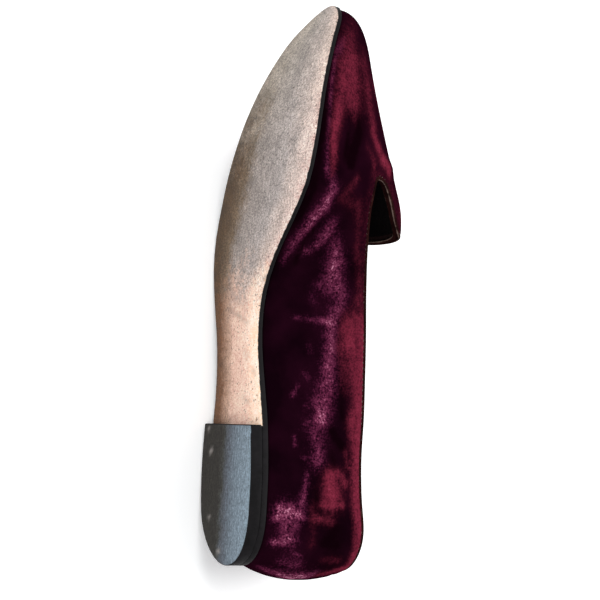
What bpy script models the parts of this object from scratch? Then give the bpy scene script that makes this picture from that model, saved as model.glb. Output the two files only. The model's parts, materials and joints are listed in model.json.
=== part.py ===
"""Smoking slipper, right shoe: velvet upper on a thin leather sole with a low heel.

Every piece is worked out in the shoe's own frame, in millimetres: X runs from the back of
the heel to the toe, Y to the inner side of the foot, and Z up from the floor under the
standing shoe. The finished shoe is then laid on its outer side, toe along world +X.
"""
import math

import bmesh
import bpy
import numpy as np
from mathutils import Matrix, Vector

MM = 0.001
SHOE = "smoking_slipper"

# Lengths along the shoe
SOLE_BACK = 3.3
LENGTH = 260.0
HEEL_BREAST = 66.0
SHANK_FRONT = 130.0
TREAD_BACK = 150.0
TREAD_FRONT = 178.0
TONGUE_END = 161.0
NOTCH_FRONT = 179.0

# Heights and thicknesses
HEEL_LIFT = 4.7
TOE_SPRING = 20.0
TOE_SPRING_POWER = 1.8
SOLE_AT_HEEL = 3.2
SOLE_AT_TOE = 2.4
WALL = 2.0
SOCK = 2.0
SOCK_CLEARANCE = 1.0
GAP = 0.3

# Rounded ends, edges and corners
HEEL_ROUND = 25.0
HEEL_TURN = 50.0
TOE_ROUND = 15.0
TOE_TURN = 45.0
EDGE_ROLL = 0.6
FEATHER_INSET = 0.8
HEEL_TAPER = 1.1
HEEL_SETBACK = 0.4
HEEL_REACH = 1.8
HEEL_SKEW = 0.035
NOTCH_ROUND = 1.8
TONGUE_CORNER = 9.0
BINDING_RADIUS = 1.0

# Grid counts, and how closely columns stand at round ends
WALL_ROWS = 9
NOTCH_ROWS = 4
TONGUE_ROWS = 6
COLUMNS_BEHIND_TONGUE = 22
COLUMNS_AT_TONGUE = 5
COLUMNS_AHEAD = 15
END_CLUSTER = 1.6
SOLE_COLUMNS = 52
SOCK_COLUMNS = 36
HEEL_COLUMNS = 16
ACROSS = (-1.0, -0.5, 0.0, 0.5, 1.0)
ACROSS_ROLLED = (-1.0, -0.96, -0.5, 0.0, 0.5, 0.96, 1.0)
MERGE = 0.001

LATERAL, MEDIAL = -1.0, 1.0
TURN_OVER = 0.3  # place on a wall from which it only comes in towards the ridge
FACES_OUT = 0.7  # how squarely a face of the hull must look to the outer side to rest on
KG_PER_MM3 = {"fabric": 300e-9, "leather": 900e-9, "rubber": 1200e-9}


def table(columns, *rows):
    """Columns by name, each an array down the rows."""
    return dict(zip(columns.split(), np.array(rows, dtype=float).T))


# Outline of the sole seen from above: the line of its middle and half its width
PLAN = table(
    "x centre half_width",
    (0, 6.0, 23.2),
    (22, 1.6, 23.4),
    (45, -0.3, 24.3),
    (66, -1.6, 22.7),
    (85, -2.5, 19.9),
    (105, -3.0, 18.9),
    (125, -2.0, 22.2),
    (140, 1.6, 27.4),
    (155, 8.2, 33.5),
    (170, 15.4, 37.2),
    (185, 19.8, 37.3),
    (200, 21.8, 35.3),
    (215, 22.7, 32.1),
    (230, 24.2, 27.7),
    (245, 26.8, 21.7),
    (260, 32.0, 14.5),
)

# Sections of the last. Each wall leaves the sole's edge upwards (rise) and outwards (bulge),
# and comes in level (shoulder) to the ridge over the foot, which is open behind the throat.
LAST = table(
    "x ridge_x ridge_y ridge_z bulge rise shoulder",
    (3, 24.5, 0.0, 91, 16.0, 26, 25),
    (24, 34, 0.0, 95, 7.0, 34, 25),
    (50, 54, 0.0, 97, 5.0, 36, 26),
    (85, 86, 0.0, 96, 7.5, 34, 27),
    (115, 116, 1.0, 92, 9.0, 32, 27),
    (140, 140, 6.0, 84, 6.0, 32, 26),
    (158, 158, 10.0, 79, 3.0, 32, 25),
    (172, 172, 13.5, 75.5, 2.5, 29, 24),
    (185, 185, 16.5, 68.5, 2.5, 25, 23),
    (200, 199, 19.5, 61.5, 2.5, 21, 21),
    (215, 213, 22.5, 55, 2.2, 18, 18),
    (230, 226, 25.6, 49.5, 2.0, 15, 14),
    (245, 237, 28.8, 45, 1.8, 12, 10),
    (256, 244, 32.0, 41.5, 1.6, 10, 8),
    (260, 246.5, 33.0, 40.0, 1.4, 9, 8),
)

# Height of the collar's edge on the outer and the inner side
COLLAR = table(
    "x lateral medial",
    (0, 63.0, 63.0),
    (12, 61.5, 61.5),
    (30, 58.3, 58.3),
    (48, 55.5, 56.9),
    (80, 55.0, 58.4),
    (115, 53.5, 56.8),
    (140, 48.0, 50.3),
    (155, 43.5, 44.5),
    (168, 41.0, 40.8),
    (179, 41.0, 41.5),
)

# Half the width of the tongue, measured level from the ridge
TONGUE = table(
    "x half_width",
    (161, 21.5),
    (170, 24.3),
    (179, 27.3),
)


def along(rows, column, x):
    """Smooth value of a column at x: cubic pieces whose slopes follow the neighbouring rows."""
    knots, values = rows["x"], rows[column]
    slopes = np.gradient(values, knots)
    i = int(np.clip(np.searchsorted(knots, x) - 1, 0, len(knots) - 2))
    span = knots[i + 1] - knots[i]
    u = min(max((x - knots[i]) / span, 0.0), 1.0)
    start = (1 + 2 * u) * (1 - u) ** 2 * values[i] + u * (1 - u) ** 2 * span * slopes[i]
    return start + u * u * (3 - 2 * u) * values[i + 1] + u * u * (u - 1) * span * slopes[i + 1]


def solve(value, target, low, high):
    """Place between low and high where a steadily changing function meets its target."""
    rising = value(high) > value(low)
    for _ in range(40):
        middle = (low + high) / 2
        if (value(middle) < target) == rising:
            low = middle
        else:
            high = middle
    return (low + high) / 2


def smooth_step(u):
    """Soft change from 0 to 1 while u goes from 0 to 1."""
    u = min(max(u, 0.0), 1.0)
    return u * u * (3 - 2 * u)


def half_width(x, inset=0.0):
    """Half the sole's width at x, with both ends rounded, drawn in all round by the inset."""
    start, end = SOLE_BACK + inset, LENGTH - inset
    half = along(PLAN, "half_width", x) - inset
    if x < start + HEEL_ROUND:
        half *= math.sqrt(max(0.0, 1 - ((start + HEEL_ROUND - x) / HEEL_ROUND) ** 2))
    if x > end - TOE_ROUND:
        half *= math.sqrt(max(0.0, 1 - ((x - end + TOE_ROUND) / TOE_ROUND) ** 2))
    return half


def bottom(x):
    """Height of the sole's underside: seat, shank, flat tread and toe spring."""
    if x <= HEEL_BREAST:
        return HEEL_LIFT
    if x < TREAD_BACK:
        return HEEL_LIFT * smooth_step((TREAD_BACK - x) / (TREAD_BACK - HEEL_BREAST))
    if x <= TREAD_FRONT:
        return 0.0
    return TOE_SPRING * ((x - TREAD_FRONT) / (LENGTH - TREAD_FRONT)) ** TOE_SPRING_POWER


def sole_top(x):
    """Height of the sole's upper face, thicker under heel and waist than under the toes."""
    thinned = smooth_step((x - HEEL_BREAST) / (SHANK_FRONT - HEEL_BREAST))
    return bottom(x) + SOLE_AT_HEEL + (SOLE_AT_TOE - SOLE_AT_HEEL) * thinned


def edge_point(x, side, inset=0.0):
    """Point of the outline on one side, on the floor."""
    return Vector((x, along(PLAN, "centre", x) + side * half_width(x, inset), 0.0))


def outward(x, side):
    """Level direction out of the shoe at x: sideways along it, and turned to face its ends."""
    start, end = SOLE_BACK + FEATHER_INSET, LENGTH - FEATHER_INSET
    if x <= start or x >= end:
        return Vector((-1.0 if x <= start else 1.0, 0.0, 0.0))
    step = min(0.05, x - start, end - x)
    run = edge_point(x + step, side, FEATHER_INSET) - edge_point(x - step, side, FEATHER_INSET)
    turned = smooth_step(1 - x / HEEL_TURN) + smooth_step(1 - (LENGTH - x) / TOE_TURN)
    return (Vector((run.y * turned, -run.x, 0.0)) * -side).normalized()


def wall_curve(x, side):
    """Four control points of the wall on one side, from the feather line to the ridge."""
    out = outward(x, side)
    feather = edge_point(x, side, FEATHER_INSET)
    feather.z = sole_top(x) + GAP
    behind, ridge = [
        Vector([along(LAST, column, place) for column in ("ridge_x", "ridge_y", "ridge_z")])
        for place in (x - 1.0, x)
    ]
    slope = (ridge.z - behind.z) / (ridge.x - behind.x)
    first = feather + out * along(LAST, "bulge", x) + Vector((0, 0, along(LAST, "rise", x)))
    over_ridge = Vector((out.x, out.y, out.x * slope))
    return feather, first, ridge + over_ridge * along(LAST, "shoulder", x), ridge


def on_wall(curve, t):
    """Point of a wall, from the feather line at t = 0 to the ridge at t = 1."""
    a, b, c, d = curve
    return a * (1 - t) ** 3 + b * 3 * t * (1 - t) ** 2 + c * 3 * t * t * (1 - t) + d * t ** 3


def collar_place(curve, x, side):
    """Where on the wall the collar's edge runs."""
    height = along(COLLAR, "medial" if side == MEDIAL else "lateral", x)
    return solve(lambda t: on_wall(curve, t).z, height, 0.0, 1.0)


def tongue_place(curve, x):
    """Where on the wall the tongue's edge runs."""
    half = along(TONGUE, "half_width", x)
    return solve(lambda t: abs(on_wall(curve, t).y - curve[3].y), half, TURN_OVER, 1.0)


def stations(first, last):
    """Places of the upper's columns: close together at both ends, and exact at the throat."""
    behind = [(i / COLUMNS_BEHIND_TONGUE) ** END_CLUSTER for i in range(COLUMNS_BEHIND_TONGUE)]
    at_tongue = [i / COLUMNS_AT_TONGUE for i in range(COLUMNS_AT_TONGUE)]
    ahead = [1 - (1 - i / COLUMNS_AHEAD) ** END_CLUSTER for i in range(COLUMNS_AHEAD + 1)]
    return (
        [first + u * (TONGUE_END - first) for u in behind]
        + [TONGUE_END + u * (NOTCH_FRONT - TONGUE_END) for u in at_tongue]
        + [NOTCH_FRONT + u * (last - NOTCH_FRONT) for u in ahead]
    )


def throat_places(x, side):
    """Places of the collar's and the tongue's edge on the wall at x, behind the notch's front."""
    curve = wall_curve(x, side)
    return np.array([collar_place(curve, x, side), tongue_place(curve, max(x, TONGUE_END))])


def row_places(x, side):
    """The same two places at any x: ahead of the notch, both sides come together at the toe."""
    if x <= NOTCH_FRONT:
        return throat_places(x, side)
    u = (x - NOTCH_FRONT) / (LENGTH - FEATHER_INSET - NOTCH_FRONT)
    own, other = throat_places(NOTCH_FRONT, side), throat_places(NOTCH_FRONT, -side)
    return own + (other - own) * u / 2


def side_rows(x, side):
    """Points up one side of the upper at x: wall, then notch band, then tongue or vamp."""
    curve = wall_curve(x, side)
    top, edge = row_places(x, side)
    points = [on_wall(curve, top * i / WALL_ROWS) for i in range(WALL_ROWS)]
    for i in range(NOTCH_ROWS):
        across = 2 * i / NOTCH_ROWS - 1
        forward = NOTCH_ROUND * math.sqrt(1 - across * across) if x == NOTCH_FRONT else 0.0
        band = wall_curve(x + forward, side) if forward else curve
        points.append(on_wall(band, top + (edge - top) * i / NOTCH_ROWS))
    return points + tongue_rows(x, side, curve, edge)


def tongue_rows(x, side, curve, edge):
    """Points from the tongue's edge to the ridge, with the corner of its end rounded."""
    points = []
    for i in range(TONGUE_ROWS + 1):
        inward = (i / TONGUE_ROWS) ** END_CLUSTER
        if not TONGUE_END <= x < NOTCH_FRONT:
            points.append(on_wall(curve, edge + (1 - edge) * inward))
            continue
        from_edge = along(TONGUE, "half_width", TONGUE_END) * inward
        short = max(0.0, 1 - from_edge / TONGUE_CORNER)
        start = TONGUE_END + TONGUE_CORNER * (1 - math.sqrt(1 - short * short))
        moved = start + (x - TONGUE_END) / (NOTCH_FRONT - TONGUE_END) * (NOTCH_FRONT - start)
        bent = wall_curve(moved, side)
        low = tongue_place(bent, moved)
        points.append(on_wall(bent, low + (1 - low) * inward))
    return points


def sheet(columns, rows):
    """Open grid of faces, and its vertices by column and row."""
    grid = bmesh.new()
    bmesh.ops.create_grid(grid, x_segments=columns - 1, y_segments=rows - 1, size=1.0)
    ordered = sorted(grid.verts, key=lambda v: (round(v.co.x, 4), round(v.co.y, 4)))
    return grid, [ordered[c * rows:(c + 1) * rows] for c in range(columns)]


def piece(name, grid, material):
    """Named object from a finished grid, shaded smooth up to its edges."""
    bmesh.ops.scale(grid, vec=(MM, MM, MM), verts=grid.verts)
    mesh = bpy.data.meshes.new(name)
    grid.to_mesh(mesh)
    grid.free()
    mesh.shade_smooth()
    mesh.set_sharp_from_angle(angle=math.radians(40))
    mesh.materials.append(material)
    made = bpy.data.objects.new(name, mesh)
    bpy.data.collections[SHOE].objects.link(made)
    return made


def slab(name, material, places, across, lower, upper):
    """Closed slab: a grid, drawn up, with its lower and upper faces set by functions."""
    grid, columns = sheet(len(places), len(across))
    drawn = bmesh.ops.extrude_face_region(grid, geom=grid.faces[:])
    raised = [item for item in drawn["geom"] if isinstance(item, bmesh.types.BMVert)]
    above = {tuple(round(n, 4) for n in v.co): v for v in raised}
    for x, column in zip(places, columns):
        for v, vertex in zip(across, column):
            twin = above[tuple(round(n, 4) for n in vertex.co)]
            vertex.co = lower(x, v)
            twin.co = upper(x, v)
    bmesh.ops.remove_doubles(grid, verts=grid.verts, dist=MERGE)
    bmesh.ops.recalc_face_normals(grid, faces=grid.faces)
    return piece(name, grid, material)


def eased(first, last, count):
    """Places from first to last, close together at both ends, which are round."""
    return [first + (last - first) * (1 - math.cos(math.pi * i / count)) / 2
            for i in range(count + 1)]


def make_outsole(material):
    """Thin sole: outline, arch and toe spring, with its lower edge rolled."""
    def underside(x, v):
        point = edge_point(x, v)
        rolled = EDGE_ROLL * min(1.0, half_width(x) / TOE_ROUND) if abs(v) == 1.0 else 0.0
        point.z = bottom(x) + rolled
        return point

    def topside(x, v):
        point = edge_point(x, v)
        point.z = sole_top(x)
        return point

    places = eased(SOLE_BACK, LENGTH, SOLE_COLUMNS)
    return slab("outsole", material, places, ACROSS_ROLLED, underside, topside)


def make_heel(material):
    """Low heel block: round back that reaches out, skewed breast, sides drawn in downwards."""
    def level(inset, reach, height):
        def point_on(share, v):
            start = SOLE_BACK + inset
            point = edge_point(start + share * (HEEL_BREAST - start), v, inset)
            point.x -= (1 - share) * reach + share * HEEL_SKEW * point.y
            point.z = height
            return point
        return point_on

    shares = [1 - math.cos(math.pi / 2 * i / HEEL_COLUMNS) for i in range(HEEL_COLUMNS + 1)]
    tread = level(HEEL_SETBACK + HEEL_TAPER, HEEL_REACH, 0.0)
    seat = level(HEEL_SETBACK, 0.0, HEEL_LIFT - GAP)
    return slab("heel", material, shares, ACROSS, tread, seat)


def make_insole(material):
    """Sock on top of the sole, inside the foot of the upper's wall."""
    inset = FEATHER_INSET + WALL + SOCK_CLEARANCE

    def layer(height):
        def point_on(x, v):
            point = edge_point(x, v, inset)
            point.z = sole_top(x) + height
            return point
        return point_on

    places = eased(SOLE_BACK + inset, LENGTH - inset, SOCK_COLUMNS)
    return slab("insole", material, places, ACROSS, layer(GAP), layer(GAP + SOCK))


def upper_sheet():
    """Outer face of the upper as an open sheet, with collar, notches and tongue cut free."""
    places = stations(SOLE_BACK + FEATHER_INSET, LENGTH - FEATHER_INSET)
    per_side = WALL_ROWS + NOTCH_ROWS + TONGUE_ROWS
    grid, columns = sheet(len(places), 2 * per_side + 1)
    opened = set()
    for x, column in zip(places, columns):
        outer = side_rows(x, LATERAL)
        inner = side_rows(x, MEDIAL)
        for vertex, point in zip(column, outer + inner[-2::-1]):
            vertex.co = point
        for row, vertex in enumerate(column):
            climb = min(row, 2 * per_side - row)
            in_notch = WALL_ROWS < climb < WALL_ROWS + NOTCH_ROWS and x < NOTCH_FRONT
            behind_tongue = climb > WALL_ROWS and x < TONGUE_END
            if in_notch or behind_tongue:
                opened.add(vertex)
    bmesh.ops.delete(grid, geom=list(opened), context="VERTS")
    bmesh.ops.remove_doubles(grid, verts=grid.verts, dist=MERGE)
    if sum(face.normal.z * face.calc_area() for face in grid.faces) < 0:
        bmesh.ops.reverse_faces(grid, faces=grid.faces)
    grid.normal_update()
    return grid


def collar_loop(grid):
    """Vertices round the collar, notches and tongue in order: the rim that stands highest."""
    rims = []
    left = {edge for edge in grid.edges if edge.is_boundary}
    while left:
        edge = left.pop()
        loop = [edge.verts[0], edge.verts[1]]
        while loop[-1] != loop[0]:
            onward = next(e for e in loop[-1].link_edges if e in left)
            left.remove(onward)
            loop.append(onward.other_vert(loop[-1]))
        rims.append(loop[:-1])
    return max(rims, key=lambda rim: sum(v.co.z for v in rim) / len(rim))


def make_binding(material, grid):
    """Round bead that follows the rim of the collar just beyond the wall."""
    loop = collar_loop(grid)
    stand_off = BINDING_RADIUS + GAP
    path = []
    for before, vertex, after in zip(loop[-1:] + loop[:-1], loop, loop[1:] + loop[:1]):
        run = (after.co - before.co).normalized()
        away = run.cross(vertex.normal).normalized()
        if sum(away.dot(face.calc_center_median() - vertex.co) for face in vertex.link_faces) > 0:
            away = -away
        path.append(vertex.co - vertex.normal * WALL / 2 + away * stand_off)
    curve = bpy.data.curves.new("collar_binding", "CURVE")
    curve.dimensions = "3D"
    curve.bevel_depth = BINDING_RADIUS * MM
    curve.bevel_resolution = 2
    spline = curve.splines.new("POLY")
    spline.points.add(len(path) - 1)
    for knot, point in zip(spline.points, path):
        knot.co = (*(point * MM), 1.0)
    spline.use_cyclic_u = True
    curve.materials.append(material)
    bead = bpy.data.objects.new("collar_binding", curve)
    bpy.data.collections[SHOE].objects.link(bead)
    return bead


def make_upper(material, grid):
    """Velvet wall of one thickness: the outer sheet with its lining side drawn inwards."""
    upper = piece("upper", grid, material)
    thickness = upper.modifiers.new("wall", "SOLIDIFY")
    thickness.thickness = WALL * MM
    thickness.offset = -1.0
    thickness.use_even_offset = True
    thickness.use_quality_normals = True
    return upper


def finish(name, hex_colour, roughness):
    """Plain dielectric material of one colour."""
    def linear(channel):
        return channel / 12.92 if channel <= 0.04045 else ((channel + 0.055) / 1.055) ** 2.4

    material = bpy.data.materials.new(name)
    material.use_nodes = True
    shader = material.node_tree.nodes["Principled BSDF"]
    channels = [int(hex_colour[i:i + 2], 16) / 255 for i in (0, 2, 4)]
    shader.inputs["Base Color"].default_value = (*[linear(c) for c in channels], 1.0)
    shader.inputs["Roughness"].default_value = roughness
    shader.inputs["Metallic"].default_value = 0.0
    return material


def solid_of(made):
    """Evaluated triangles of an object, in the shoe's frame and in millimetres."""
    bpy.context.view_layer.update()
    seen = made.evaluated_get(bpy.context.evaluated_depsgraph_get())
    mesh = seen.to_mesh()
    mesh.calc_loop_triangles()
    corners = np.array([vertex.co for vertex in mesh.vertices]) / MM
    triangles = corners[[triangle.vertices[:] for triangle in mesh.loop_triangles]]
    seen.to_mesh_clear()
    return triangles


def balance_point(solids):
    """Centre of mass of several solids, each given with its density."""
    weight, moment = 0.0, np.zeros(3)
    for triangles, density in solids:
        a, b, c = triangles[:, 0], triangles[:, 1], triangles[:, 2]
        volumes = np.einsum("ij,ij->i", a, np.cross(b, c)) / 6 * density
        weight += volumes.sum()
        moment += (volumes[:, None] * (a + b + c) / 4).sum(axis=0)
    return Vector(moment / weight)


def lying_turn(solids):
    """Turn that lays the shoe on its outer side, on the face of its hull below its balance."""
    balance = balance_point(solids)
    hull = bmesh.new()
    for triangles, _ in solids:
        for corner in np.unique(triangles.reshape(-1, 3), axis=0):
            hull.verts.new(corner)
    bmesh.ops.convex_hull(hull, input=hull.verts)
    hull.normal_update()
    down = None
    for face in hull.faces:
        if face.normal.y > -FACES_OUT:
            continue
        corners = [vertex.co for vertex in face.verts]
        turns = [(b - a).cross(balance - a).dot(face.normal)
                 for a, b in zip(corners, corners[1:] + corners[:1])]
        if min(turns) >= 0:
            down = face.normal.copy()
    hull.free()
    ahead = (Vector((1, 0, 0)) - down * down.x).normalized()
    return Matrix((ahead, (-down).cross(ahead), -down))


def lay_down(pieces):
    """Parent the pieces to an empty that lays them on the floor, centred on the origin."""
    solids = [(solid_of(made), KG_PER_MM3[stuff]) for made, stuff in pieces]
    turn = lying_turn(solids)
    corners = np.concatenate([triangles.reshape(-1, 3) for triangles, _ in solids])
    laid = corners @ np.array(turn).T
    low, high = laid.min(axis=0), laid.max(axis=0)
    shift = -Vector(((low[0] + high[0]) / 2, (low[1] + high[1]) / 2, low[2])) * MM
    rest = bpy.data.objects.new("rest_on_outer_side", None)
    bpy.data.collections[SHOE].objects.link(rest)
    rest.matrix_world = Matrix.Translation(shift) @ turn.to_4x4()
    for made, _ in pieces:
        made.parent = rest


def main():
    for old in list(bpy.data.objects):
        bpy.data.objects.remove(old)
    bpy.context.scene.collection.children.link(bpy.data.collections.new(SHOE))
    sole_leather = finish("worn_sole_leather", "9a7f6b", 0.7)
    heel_rubber = finish("worn_heel_rubber", "5d626a", 0.8)
    sock_leather = finish("sock_leather", "1d1a1b", 0.6)
    velvet = finish("wine_velvet", "4a1025", 0.9)
    bound_edge = finish("binding_leather", "3a2224", 0.45)
    outer_face = upper_sheet()
    binding = make_binding(bound_edge, outer_face)
    lay_down([
        (make_outsole(sole_leather), "leather"),
        (make_heel(heel_rubber), "rubber"),
        (make_insole(sock_leather), "leather"),
        (make_upper(velvet, outer_face), "fabric"),
        (binding, "leather"),
    ])


main()
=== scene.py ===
# %% [markdown]
# # A smoking slipper in crushed velvet
#
# The shoe is a right slipper that lies on its outer side, so that the worn sole and the inner
# flank both face the viewer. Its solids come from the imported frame, at their real size and
# place. This lesson dresses them: each solid is copied, refined and given the surface that the
# real material has.

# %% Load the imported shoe
import json
import math

import bpy
import numpy as np
from mathutils import Matrix, Vector
from mathutils.bvhtree import BVHTree


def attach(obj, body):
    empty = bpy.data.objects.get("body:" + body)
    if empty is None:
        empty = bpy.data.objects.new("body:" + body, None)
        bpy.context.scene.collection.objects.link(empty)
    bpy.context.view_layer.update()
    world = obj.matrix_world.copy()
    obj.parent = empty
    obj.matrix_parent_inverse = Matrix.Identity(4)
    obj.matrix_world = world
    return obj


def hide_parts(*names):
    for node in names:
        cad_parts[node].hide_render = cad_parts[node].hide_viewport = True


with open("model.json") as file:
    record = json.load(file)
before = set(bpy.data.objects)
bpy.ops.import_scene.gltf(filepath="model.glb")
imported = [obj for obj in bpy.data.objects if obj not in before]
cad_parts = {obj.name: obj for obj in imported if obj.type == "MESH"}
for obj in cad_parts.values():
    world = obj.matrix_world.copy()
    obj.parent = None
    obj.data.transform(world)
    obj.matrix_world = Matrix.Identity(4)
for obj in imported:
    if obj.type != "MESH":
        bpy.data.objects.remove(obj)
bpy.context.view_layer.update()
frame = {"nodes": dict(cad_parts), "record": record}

# %% [markdown]
# ## The shoe's own measure
#
# A shoemaker measures from the back of the heel to the toe, across the foot, and up from the
# floor under the standing shoe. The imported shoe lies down, so its world places are hard to
# read. The record names two flat spots of the tread whose places on the shoe are known, and
# those two spots and the way they face are enough to turn shoe millimetres into world metres.

# %% Shoe millimetres to world metres and back
MM = 0.001
HEEL_SPOT = Vector((32.0, 0.0, 0.0))
FOREFOOT_SPOT = Vector((164.0, 12.5, 0.0))
SHOE_LENGTH = 260.0


def turn_of(ahead, up):
    """Rotation whose columns are ahead, its left side and up."""
    left = up.cross(ahead).normalized()
    return Matrix((left.cross(up), left, up)).transposed()


mounts = {mount["name"]: mount for mount in frame["record"]["mounts"]}
heel_spot = Vector(mounts["heel_tread"]["pos_m"])
forefoot_spot = Vector(mounts["forefoot_tread"]["pos_m"])
world_up = -Vector(mounts["heel_tread"]["axis"]).normalized()
world_turn = turn_of((forefoot_spot - heel_spot).normalized(), world_up)
shoe_turn = turn_of((FOREFOOT_SPOT - HEEL_SPOT).normalized(), Vector((0, 0, 1)))
turn = world_turn @ shoe_turn.transposed()
to_world = (Matrix.Translation(heel_spot) @ turn.to_4x4() @ Matrix.Scale(MM, 4)
            @ Matrix.Translation(-HEEL_SPOT))
to_shoe = to_world.inverted()


def shoe_places(made):
    """Every vertex of an object, in shoe millimetres."""
    flat = np.empty(len(made.data.vertices) * 3)
    made.data.vertices.foreach_get("co", flat)
    matrix = np.array(to_shoe)
    return flat.reshape(-1, 3) @ matrix[:3, :3].T + matrix[:3, 3]


def move_to(made, places):
    """Put every vertex of an object at its place in shoe millimetres."""
    matrix = np.array(to_world)
    made.data.vertices.foreach_set("co", (places @ matrix[:3, :3].T + matrix[:3, 3]).ravel())
    made.data.update()


print("toe end of the shoe in the world:", to_world @ Vector((SHOE_LENGTH, 34, 20)))

# %% [markdown]
# ## Camera
#
# A camera is three choices: where it stands, what it looks at and how long its lens is. They
# are given in the shoe's measure, because the view is fixed to the shoe: from under the sole
# and from its inner side, with the toe at the top of the picture. The small shift puts the
# shoe where it sits in the frame.

# %% Camera at the photograph's angle
LOOK_AT = Vector((131.0, 10.0, 25.0))
TOWARDS_CAMERA = Vector((-0.153, 0.840, -0.520)).normalized()
PICTURE_UP = Vector((0.9864, 0.0987, -0.1315))
CAMERA_DISTANCE = 685.5
LENS = 88.74
SENSOR = 36.0
SHIFT_RIGHT, SHIFT_UP = 0.0073, -0.0202

bpy.ops.object.select_all(action="DESELECT")
bpy.ops.object.camera_add()
camera = bpy.context.active_object
camera.name = "camera"
back = (turn @ TOWARDS_CAMERA).normalized()
right = (turn @ PICTURE_UP).cross(back).normalized()
stand = to_world @ (LOOK_AT + TOWARDS_CAMERA * CAMERA_DISTANCE)
axes = Matrix((right, back.cross(right), back)).transposed()
camera.matrix_world = Matrix.Translation(stand) @ axes.to_4x4()
camera.data.lens = LENS
camera.data.sensor_width = SENSOR
camera.data.shift_x = SHIFT_RIGHT
camera.data.shift_y = SHIFT_UP
bpy.context.scene.camera = camera
print("camera stands at", [round(n, 3) for n in stand])

# %% [markdown]
# ## Colours and nodes
#
# Colours are written as sRGB hex values, but a renderer adds light in linear numbers, so one
# function turns the first into the second. A second small function adds a shader node: its
# options are set by name, and each socket gets either a plain value or a link.

# %% Two helpers for every material
FACTOR, FIRST, SECOND, MIXED = 0, 6, 7, 2


def linear(hex_colour):
    """Linear RGBA of an sRGB hex colour."""
    channels = [int(hex_colour[i:i + 2], 16) / 255 for i in (1, 3, 5)]
    return (*[c / 12.92 if c <= 0.04045 else ((c + 0.055) / 1.055) ** 2.4 for c in channels], 1.0)


def add(material, kind, sockets=None, stops=(), **options):
    """Add one shader node with its options, its sockets' values or links, and any ramp stops."""
    tree = material.node_tree
    node = tree.nodes.new("ShaderNode" + kind)
    for option, value in options.items():
        setattr(node, option, value)
    for i, (position, colour) in enumerate(stops):
        ramp = node.color_ramp.elements
        stop = ramp[i] if i < len(ramp) else ramp.new(position)
        stop.position = position
        stop.color = linear(colour) if isinstance(colour, str) else (colour, colour, colour, 1)
    for socket, value in (sockets or {}).items():
        if isinstance(value, bpy.types.NodeSocket):
            tree.links.new(value, node.inputs[socket])
        else:
            node.inputs[socket].default_value = value
    return node


def start_material(name, roughness, **sockets):
    """New material, its shader, and the shoe's millimetres as a coordinate for its patterns."""
    material = bpy.data.materials.new(name)
    material.use_nodes = True
    shader = material.node_tree.nodes["Principled BSDF"]
    shader.inputs["Roughness"].default_value = roughness
    for socket, value in sockets.items():
        shader.inputs[socket.replace("_", " ")].default_value = value
    where = add(material, "TexCoord")
    place = add(material, "Mapping", {
        "Vector": where.outputs["Object"],
        "Location": to_shoe.translation,
        "Rotation": turn.transposed().to_euler(),
        "Scale": (1 / MM, 1 / MM, 1 / MM),
    })
    return material, shader, place.outputs["Vector"]


def wire(material, socket, target):
    """Link an output to a shader's input."""
    material.node_tree.links.new(socket, target)


# %% [markdown]
# ## Floor and light
#
# A product picture on white has a wide pale floor and large soft lamps, so that shadows stay
# light and edges stay clear. Big lamps far away do that: one broad lamp on the side of the
# picture's right edge, where the collar is, a second one over the toe, a third one over the
# sole, and a pale sky that fills the rest. The paper lies on a light table, whose faint glow
# thins the shadow beside the sole.

# %% Floor
FLOOR_SIZE = 6.0
GLOW = 0.18
bpy.ops.object.select_all(action="DESELECT")
bpy.ops.mesh.primitive_plane_add(size=FLOOR_SIZE)
floor = bpy.context.active_object
floor.name = "studio_floor"
paper, paper_shader, _ = start_material("white_paper", 0.9)
paper_shader.inputs["Base Color"].default_value = linear("#ffffff")
paper_shader.inputs["Emission Color"].default_value = linear("#ffffff")
paper_shader.inputs["Emission Strength"].default_value = GLOW
floor.data.materials.append(paper)
print("floor:", FLOOR_SIZE, "m wide")

# %% Lamps and sky
LAMPS = {
    # name: (place in metres, size in metres, power in watts)
    "lamp_at_collar": ((0.10, -1.00, 0.95), 0.9, 14.0),
    "lamp_over_toe": ((0.90, 0.45, 1.00), 0.8, 9.0),
    "lamp_over_sole": ((-0.50, 0.90, 0.80), 0.9, 5.0),
}
SKY_STRENGTH = 0.55

for name, (place, size, power) in LAMPS.items():
    bpy.ops.object.light_add(type="AREA", location=place)
    lamp = bpy.context.active_object
    lamp.name = name
    lamp.data.shape = "DISK"
    lamp.data.size = size
    lamp.data.energy = power
    lamp.rotation_euler = (-Vector(place)).to_track_quat("-Z", "Y").to_euler()

sky = bpy.data.worlds.new("pale_studio")
sky.use_nodes = True
sky.node_tree.nodes["Background"].inputs["Color"].default_value = linear("#f4f6f8")
sky.node_tree.nodes["Background"].inputs["Strength"].default_value = SKY_STRENGTH
bpy.context.scene.world = sky
bpy.context.scene.view_settings.view_transform = "Standard"
print("lamps:", ", ".join(LAMPS))

# %% [markdown]
# ## Working copies of the solids
#
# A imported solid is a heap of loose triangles. Merging the points that coincide makes it one
# skin again, and joining triangles in pairs gives back the quads that a subdivision surface
# rounds well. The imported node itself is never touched: it is hidden later, and the copy stands
# for it.

# %% Copy, select and apply
MERGE = 0.01 * MM


def only(made):
    """Select one object alone and make it active."""
    bpy.ops.object.select_all(action="DESELECT")
    made.select_set(True)
    bpy.context.view_layer.objects.active = made


def copy_of(node, name):
    """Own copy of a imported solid, with its points merged, open in edit mode and selected."""
    made = bpy.data.objects.new(name, frame["nodes"][node].data.copy())
    bpy.context.scene.collection.objects.link(made)
    made.data.name = name
    made.data.materials.clear()
    only(made)
    bpy.ops.object.mode_set(mode="EDIT")
    bpy.ops.mesh.select_all(action="SELECT")
    bpy.ops.mesh.remove_doubles(threshold=MERGE)
    return made


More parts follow.
